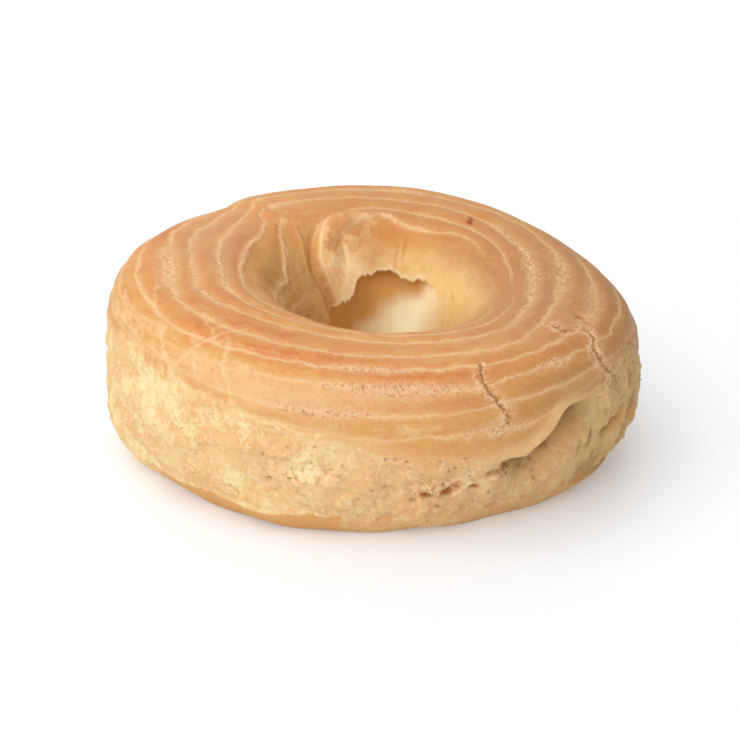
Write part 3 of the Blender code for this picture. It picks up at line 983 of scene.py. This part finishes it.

    # the lobe: cream and peach patches, a painted highlight along its rim, and painted shade in the
    # crease beside the rim and under its inner arch
    insideRim = read("insideRim")
    inLobe = b.between(insideRim, 0.6, 2, 12, 18) * b.step(section, 104, 116)
    lobeTone = mottle + 0.5 * blotch + 0.3 * speck - (section - 132) * 0.02
    lobeColour = laid(
        b, dough["rimCream"],
        (b.step(lobeTone, -0.3, -0.1), "lobePeach"),
        (0.7 * b.step(lobeTone, 0.0, 0.2), "orange"),
    )
    colour = mixed(b, 0.8 * inLobe, colour, lobeColour)
    underArch = b.bell(strand + 2.5, 0.4) * b.bump(angle, 78, 34)
    arch = b.bell(strand + 2.0 + 0.12 * mottle, 0.07) * b.bump(angle, 88, 48)
    # painted highlight along the lobe's rim, and painted shade in the crease beside it
    rimHighlight = b.bell(insideRim - 0.4 + 0.8 * mottle, 0.6) * b.step(section, 104, 116)
    crease = b.bell(insideRim + 1.2, 0.6) * b.step(section, 112, 128)
    strandAway = read("strandAway") + 0.12 * speck
    dotted = b.bell(strandAway, 0.25) * b.step(speck + 0.5 * crumb, 0.0, 0.2)
    colour = laid(
        b, colour,
        (0.75 * spotAt(101, 141, 7, 7) * b.step(mottle, -0.3, 0.1), "padCream"),
        (0.6 * underArch, "orange"),
        (0.6 * arch * b.step(speck, -0.4, -0.1), "rimCream"),
        (0.55 * rimHighlight, "rimCream"),
        (0.35 * crease, "golden"),
        (0.5 * b.bell(strandAway - 0.6, 0.3), "lineCream"),
        (0.8 * dotted, "crackBrown"),
    )

    # cracks: dark inside, with pale broken edges
    crackDark = 0
    crackPale = 0
    for name, breadth in (("crackRight", 1.3), ("crackFarRight", 1.9)):
        line = read(name) + 0.6 * speck + 0.5 * crumb
        crackDark = b.most(crackDark, b.bell(line, 0.36) * b.step(mottle + 1.5 * speck, -0.4, -0.1))
        crumbling = b.step(speck + 0.5 * crumb, -0.2, 0.05)
        crackPale = b.most(crackPale, b.bell(line + 0.8 * mottle, breadth) * crumbling)
    crackPits = crackPale * b.step(crumb - 0.5 * speck, 0.16, 0.26)
    crackPale = b.most(crackPale, 0.6 * b.bell(read("crackLeft") + 0.5 * speck, 0.3))

    # scorched streak at the back right, rosy and grey patches at the right
    streakLine = b.bell(round - 412 - (89 - section) * 0.12 + 2 * speck, 1.2)
    streakLine *= b.between(section, 82, 85, 91, 93)
    rosy = spotAt(331, 61, 6, 6) * b.step(speck + mottle, -0.4, 0.0)
    roughEdge = spotAt(338, 26, 12, 11, 8 * blotch)
    pitted = b.most(rosy, b.step(roughEdge, 0.15, 0.5)) * b.step(speck - 0.3 * mottle, 0.08, 0.2)
    greyed = spotAt(347, 62, 7, 4) * b.step(speck + mottle, -0.6, -0.1)
    colour = laid(
        b, colour,
        (0.85 * crackPale, "rubble"),
        (0.7 * crackPits, "poreBrown"),
        (0.9 * crackDark, "crackDeep"),
        (spotAt(52, 78, 4.5, 3, 4 * speck), "redOrange"),
        (b.least(1.4 * streakLine, 1), "scorch"),
        (0.75 * rosy, "mauve"),
        (0.7 * roughEdge * b.step(speck + mottle, -0.4, 0.0), "roughTan"),
        (0.7 * pitted, "crackBrown"),
        (0.6 * greyed, "tan"),
    )

    # the hollow behind the lip: a pale floor, partly its own colour and partly painted light, tan
    # towards its left, and painted shade under its roof
    down = read("down")
    pastShade = read("pastShade") + 5 * mottle
    hollowColour = laid(
        b, dough["hollowPaleLit"],
        (b.step(angle + 60 * hung, 58, 112), "hollowTan"),
        (b.fall(pastShade, 0, 9) * b.step(angle, 42, 64), "hollowShade"),
    )
    colour = mixed(b, read("hollow"), colour, hollowColour)

    # the pale lip, the pits, the browned strip along the foot and the shade under the flap
    lipLight = b.bell(down + 0.015, 0.02) * b.step(read("torn"), 0.05, 0.3)
    # painted shade: a dark slit where the lip ends
    slit = spotAt(22.5, 143.5, 3.2, 1.0, (angle - 22.5) * 0.8)
    dip, red = pitHoles(b, angle, section, place)
    rimTop = 4.3 + 0.8 * mottle + 0.3 * speck
    outside = b.maths("LESS_THAN", section, 90)
    strip = b.fall(tall, rimTop - 0.2, rimTop + 0.2) * outside
    atStrip = b.between(angle, 203, 214, 261, 264)
    stripEdge = b.bell(tall - rimTop - 0.4, 0.3) * atStrip * outside
    underside = b.step(section, 225, 250) + b.fall(section, -66, -50)
    flapSide = b.between(angle, 299, 307, 315, 322)
    shaded = b.step(below, 0, 0.5) * b.fall(below + 1.5 * mottle, 2, 9) * flapSide
    shaded = b.most(shaded, 0.6 * notchAt(b, angle, section + mottle))
    colour = laid(
        b, colour,
        (0.4 * lipLight, "veinCream"),
        (0.6 * slit, "olive"),
        (0.4 * read("dimple"), "tan"),
        # painted shade in the pits, darker where they are deeper; the red below is their own colour
        (0.6 * b.step(dip, 0.1, 0.9), "pitBrown"),
        (0.85 * red, "red"),
        (strip * (0.25 + 0.65 * atStrip), "golden"),
        (0.6 * stripEdge * b.step(speck + mottle, -0.1, 0.2), "veinCream"),
        (0.8 * b.least(underside, 1), "tan"),
        (0.9 * spotAt(331.5, -3, 4, 5), "golden"),
        (0.95 * shaded, "shade"),
    )

    isPale = 1 - browned
    height = dough["roughHeight"] * b.noise(place, 1.2, 4, 0.65, 1) * (0.4 + isPale)
    height += (dough["speckHeight"] * speck - dough["holeDepth"] * smallHole) * isPale
    height += dough["crumbHeight"] * (porous + crumbled)
    height -= dough["poreDepth"] * pore * poreHere
    bumped = b.node(
        "ShaderNodeBump", {}, {"Height": height * mm, "Distance": 1.0, "Strength": 1.0}
    )
    shader = b.node(
        "ShaderNodeBsdfPrincipled",
        {},
        {
            "Base Color": colour,
            "Roughness": dough["roughness"] + 0.2 * isPale + 0.08 * speck + 0.15 * porous,
            "Normal": bumped.outputs[0],
            "Subsurface Weight": dough["glow"],
            "Subsurface Radius": dough["glowRadius"],
            "Subsurface Scale": dough["glowScale"],
            "Specular IOR Level": dough["specular"],
        },
    )
    b.node("ShaderNodeOutputMaterial", {}, {"Surface": shader.outputs[0]})
    return material


sweep = {
    "size": 6,
    "colour": (0.70, 0.72, 0.75, 1),
    "glow": 0.23,
    "roughness": 0.6,
}


def makeFloor():
    bpy.ops.mesh.primitive_plane_add(size=sweep["size"])
    floor = bpy.context.object
    floor.name = "floor"
    material = bpy.data.materials.new("white sweep")
    material.use_nodes = True
    shader = material.node_tree.nodes["Principled BSDF"]
    shader.inputs["Base Color"].default_value = sweep["colour"]
    shader.inputs["Emission Color"].default_value = (1, 1, 1, 1)
    shader.inputs["Emission Strength"].default_value = sweep["glow"]
    shader.inputs["Roughness"].default_value = sweep["roughness"]
    floor.data.materials.append(material)


studio = {
    "skyStrength": 0.36,
    # strength and spread, and the ring angle and elevation that it comes from
    "key": (2.25, 85, 222, 52),
    "front": (0.4, 60, 268, 28),
    "behind": (0.75, 70, 105, 40),
}


def makeLights():
    world = bpy.data.worlds.new("studio")
    bpy.context.scene.world = world
    world.use_nodes = True
    sky = world.node_tree.nodes["Background"]
    sky.inputs["Color"].default_value = (1, 1, 1, 1)
    sky.inputs["Strength"].default_value = studio["skyStrength"]
    for name in ("key", "front", "behind"):
        strength, spread, around, elevation = studio[name]
        light = bpy.data.lights.new(name, "SUN")
        light.energy = strength
        light.angle = math.radians(spread)
        lamp = bpy.data.objects.new(name, light)
        turn, high = math.radians(around), math.radians(elevation)
        source = Vector((
            math.cos(turn) * math.cos(high), math.sin(turn) * math.cos(high), math.sin(high)
        ))
        lamp.location = source
        lamp.rotation_euler = (-source).to_track_quat("-Z", "Y").to_euler()
        bpy.context.scene.collection.objects.link(lamp)


shot = {
    "elevation": 24.34,
    "distance": 0.6,
    "lens": 158.65,
    "sensor": 36,
    "clipStart": 0.01,
    "target": (0.000005, -0.00147, 0.01355),
}


def makeCamera():
    data = bpy.data.cameras.new("camera")
    data.sensor_width = shot["sensor"]
    data.lens = shot["lens"]
    data.clip_start = shot["clipStart"]
    camera = bpy.data.objects.new("camera", data)
    tilt = math.radians(shot["elevation"])
    ahead = Vector((0, math.cos(tilt), -math.sin(tilt)))
    camera.location = Vector(shot["target"]) - ahead * shot["distance"]
    camera.rotation_euler = ahead.to_track_quat("-Z", "Y").to_euler()
    bpy.context.scene.collection.objects.link(camera)
    bpy.context.scene.camera = camera
    bpy.context.scene.view_settings.view_transform = "Standard"


makeCamera()
makeLights()
makeFloor()
print("camera, lights and floor placed")
crust = makeRing(doughMaterial())
print("ring made:", len(crust.data.polygons), "faces")
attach(crust, "root")
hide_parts("choux_ring")
